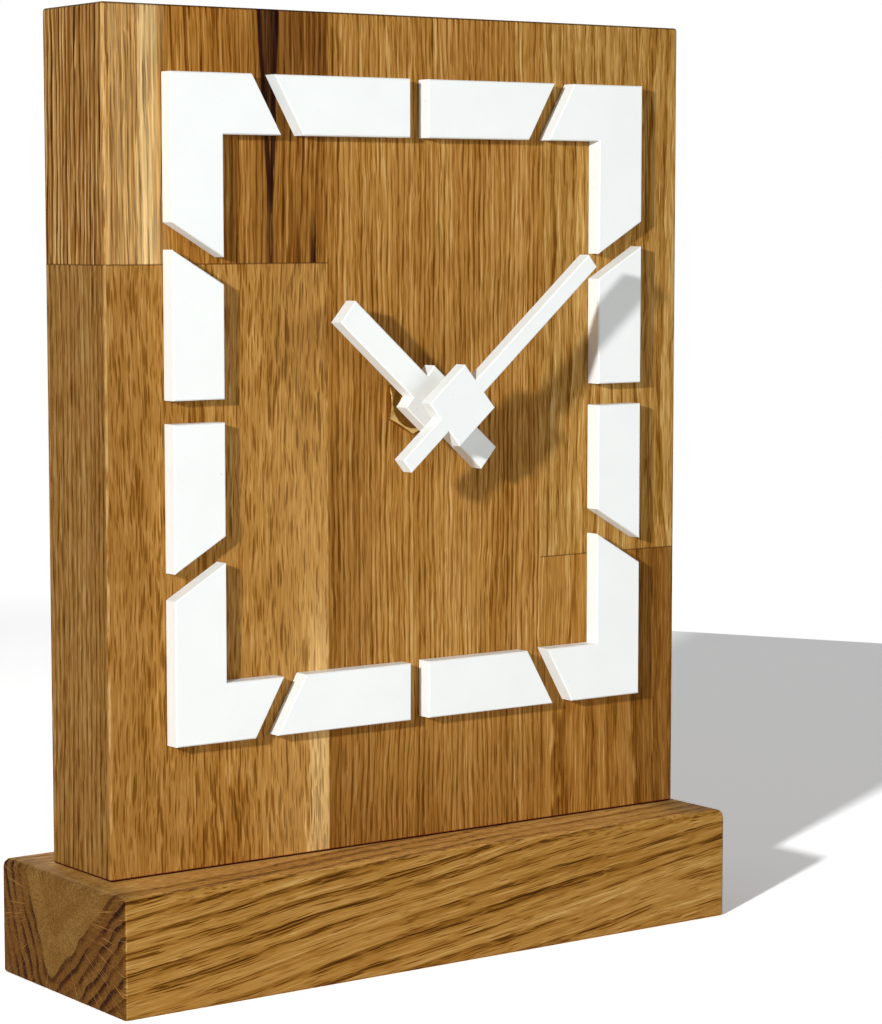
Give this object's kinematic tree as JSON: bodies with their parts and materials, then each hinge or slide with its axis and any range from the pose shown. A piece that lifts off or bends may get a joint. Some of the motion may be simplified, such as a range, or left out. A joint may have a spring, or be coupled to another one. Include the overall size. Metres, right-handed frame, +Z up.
{
  "type": "mantel clock",
  "caption": "Oak mantel clock on a wider oak base, with a rectangular frame of white hour markers, square-hubbed white hands and a battery quartz movement let into the back.",
  "frame": {"origin": "centre of the base's underside, where the clock stands", "axes": "+X to the right as seen from the front, +Y from the dial to the back, +Z up"},
  "size_m": [0.18, 0.0618, 0.228],
  "materials": {
    "light_oak": "satin oil",
    "honey_oak": "satin oil",
    "brown_oak": "satin oil",
    "golden_oak": "satin oil",
    "base_oak": "satin oil",
    "beech": "plain turned",
    "white_plastic": "soft satin",
    "black_plastic": "fine grain",
    "gear_plastic": "natural moulded",
    "black_rubber": "matt",
    "brass": "polished",
    "steel": "satin",
    "nickel": "nickel plated",
    "magnet": "ground",
    "copper_wire": "enamelled wire",
    "board": "solder mask",
    "battery_cell": "printed sleeve, unprinted"
  },
  "bodies": {
    "clock": {"base_block": "base_oak", "stave_left_upper": "light_oak", "stave_left_lower": "honey_oak", "stave_centre": "brown_oak", "stave_right_upper": "honey_oak", "stave_right_lower": "golden_oak", "marker_12_to_1": "white_plastic", "marker_1_to_2": "white_plastic", "marker_2_to_3": "white_plastic", "marker_3_to_4": "white_plastic", "marker_4_to_5": "white_plastic", "marker_5_to_6": "white_plastic", "marker_6_to_7": "white_plastic", "marker_7_to_8": "white_plastic", "marker_8_to_9": "white_plastic", "marker_9_to_10": "white_plastic", "marker_10_to_11": "white_plastic", "marker_11_to_12": "white_plastic", "body_screw_left": "steel", "body_screw_right": "steel", "dowel_left": "beech", "dowel_right": "beech", "hex_nut": "brass", "threaded_bush": "brass", "gasket": "black_rubber", "case_front": "black_plastic", "case_back": "black_plastic", "gear_bridge": "gear_plastic", "stator": "steel", "coil_core": "steel", "coil_bobbin": "white_plastic", "coil_winding": "copper_wire", "circuit_board": "board", "quartz_crystal": "nickel", "contact_negative": "nickel", "contact_positive": "nickel"},
    "hour_hand_and_wheel": {"hour_hand": "white_plastic", "hour_wheel": "gear_plastic"},
    "minute_hand_and_arbor": {"minute_hand": "white_plastic", "minute_arbor": "brass"},
    "transfer": {"transfer_wheel": "gear_plastic"},
    "knob": {"setting_knob": "gear_plastic"},
    "drive": {"drive_wheel": "gear_plastic"},
    "third": {"third_wheel": "gear_plastic"},
    "seconds": {"seconds_wheel": "gear_plastic"},
    "step": {"step_wheel": "gear_plastic"},
    "motor_rotor": {"rotor": "magnet"},
    "cell": {"battery": "battery_cell"}
  },
  "joints": [
    {"name": "minute_turn", "type": "hinge", "parent": "clock", "child": "minute_hand_and_arbor", "pos_m": [0.0015, 0, 0.1356], "axis": [0, 1, 0], "continuous": true},
    {"name": "hour_turn", "type": "hinge", "parent": "clock", "child": "hour_hand_and_wheel", "pos_m": [0.0015, 0, 0.1356], "axis": [0, 1, 0], "continuous": true},
    {"name": "transfer_turn", "type": "hinge", "parent": "clock", "child": "transfer", "pos_m": [-0.00719, 0, 0.13793], "axis": [0, 1, 0], "continuous": true},
    {"name": "knob_turn", "type": "hinge", "parent": "clock", "child": "knob", "pos_m": [-0.01356, 0, 0.14429], "axis": [0, 1, 0], "continuous": true},
    {"name": "seconds_turn", "type": "hinge", "parent": "clock", "child": "seconds", "pos_m": [0.0015, 0, 0.1356], "axis": [0, 1, 0], "continuous": true},
    {"name": "step_turn", "type": "hinge", "parent": "clock", "child": "step", "pos_m": [0.00069, 0, 0.14484], "axis": [0, 1, 0], "continuous": true},
    {"name": "rotor_turn", "type": "hinge", "parent": "clock", "child": "motor_rotor", "pos_m": [0.00328, 0, 0.15195], "axis": [0, 1, 0], "continuous": true},
    {"name": "third_turn", "type": "hinge", "parent": "clock", "child": "third", "pos_m": [0.00945, 0, 0.14019], "axis": [0, 1, 0], "continuous": true},
    {"name": "drive_turn", "type": "hinge", "parent": "clock", "child": "drive", "pos_m": [0.0015, 0, 0.1356], "axis": [0, 1, 0], "continuous": true},
    {"name": "battery_slide", "type": "slide", "parent": "clock", "child": "cell", "axis": [0, 1, 0], "range_m": [0, 0.025]}
  ],
  "couplings": [
    {"joint": "hour_turn", "follows": "minute_turn", "ratio": 0.083333},
    {"joint": "transfer_turn", "follows": "minute_turn", "ratio": -0.33333},
    {"joint": "knob_turn", "follows": "minute_turn", "ratio": 1},
    {"joint": "step_turn", "follows": "seconds_turn", "ratio": -5},
    {"joint": "rotor_turn", "follows": "seconds_turn", "ratio": 30},
    {"joint": "third_turn", "follows": "seconds_turn", "ratio": -0.13333},
    {"joint": "drive_turn", "follows": "seconds_turn", "ratio": 0.016667}
  ]
}
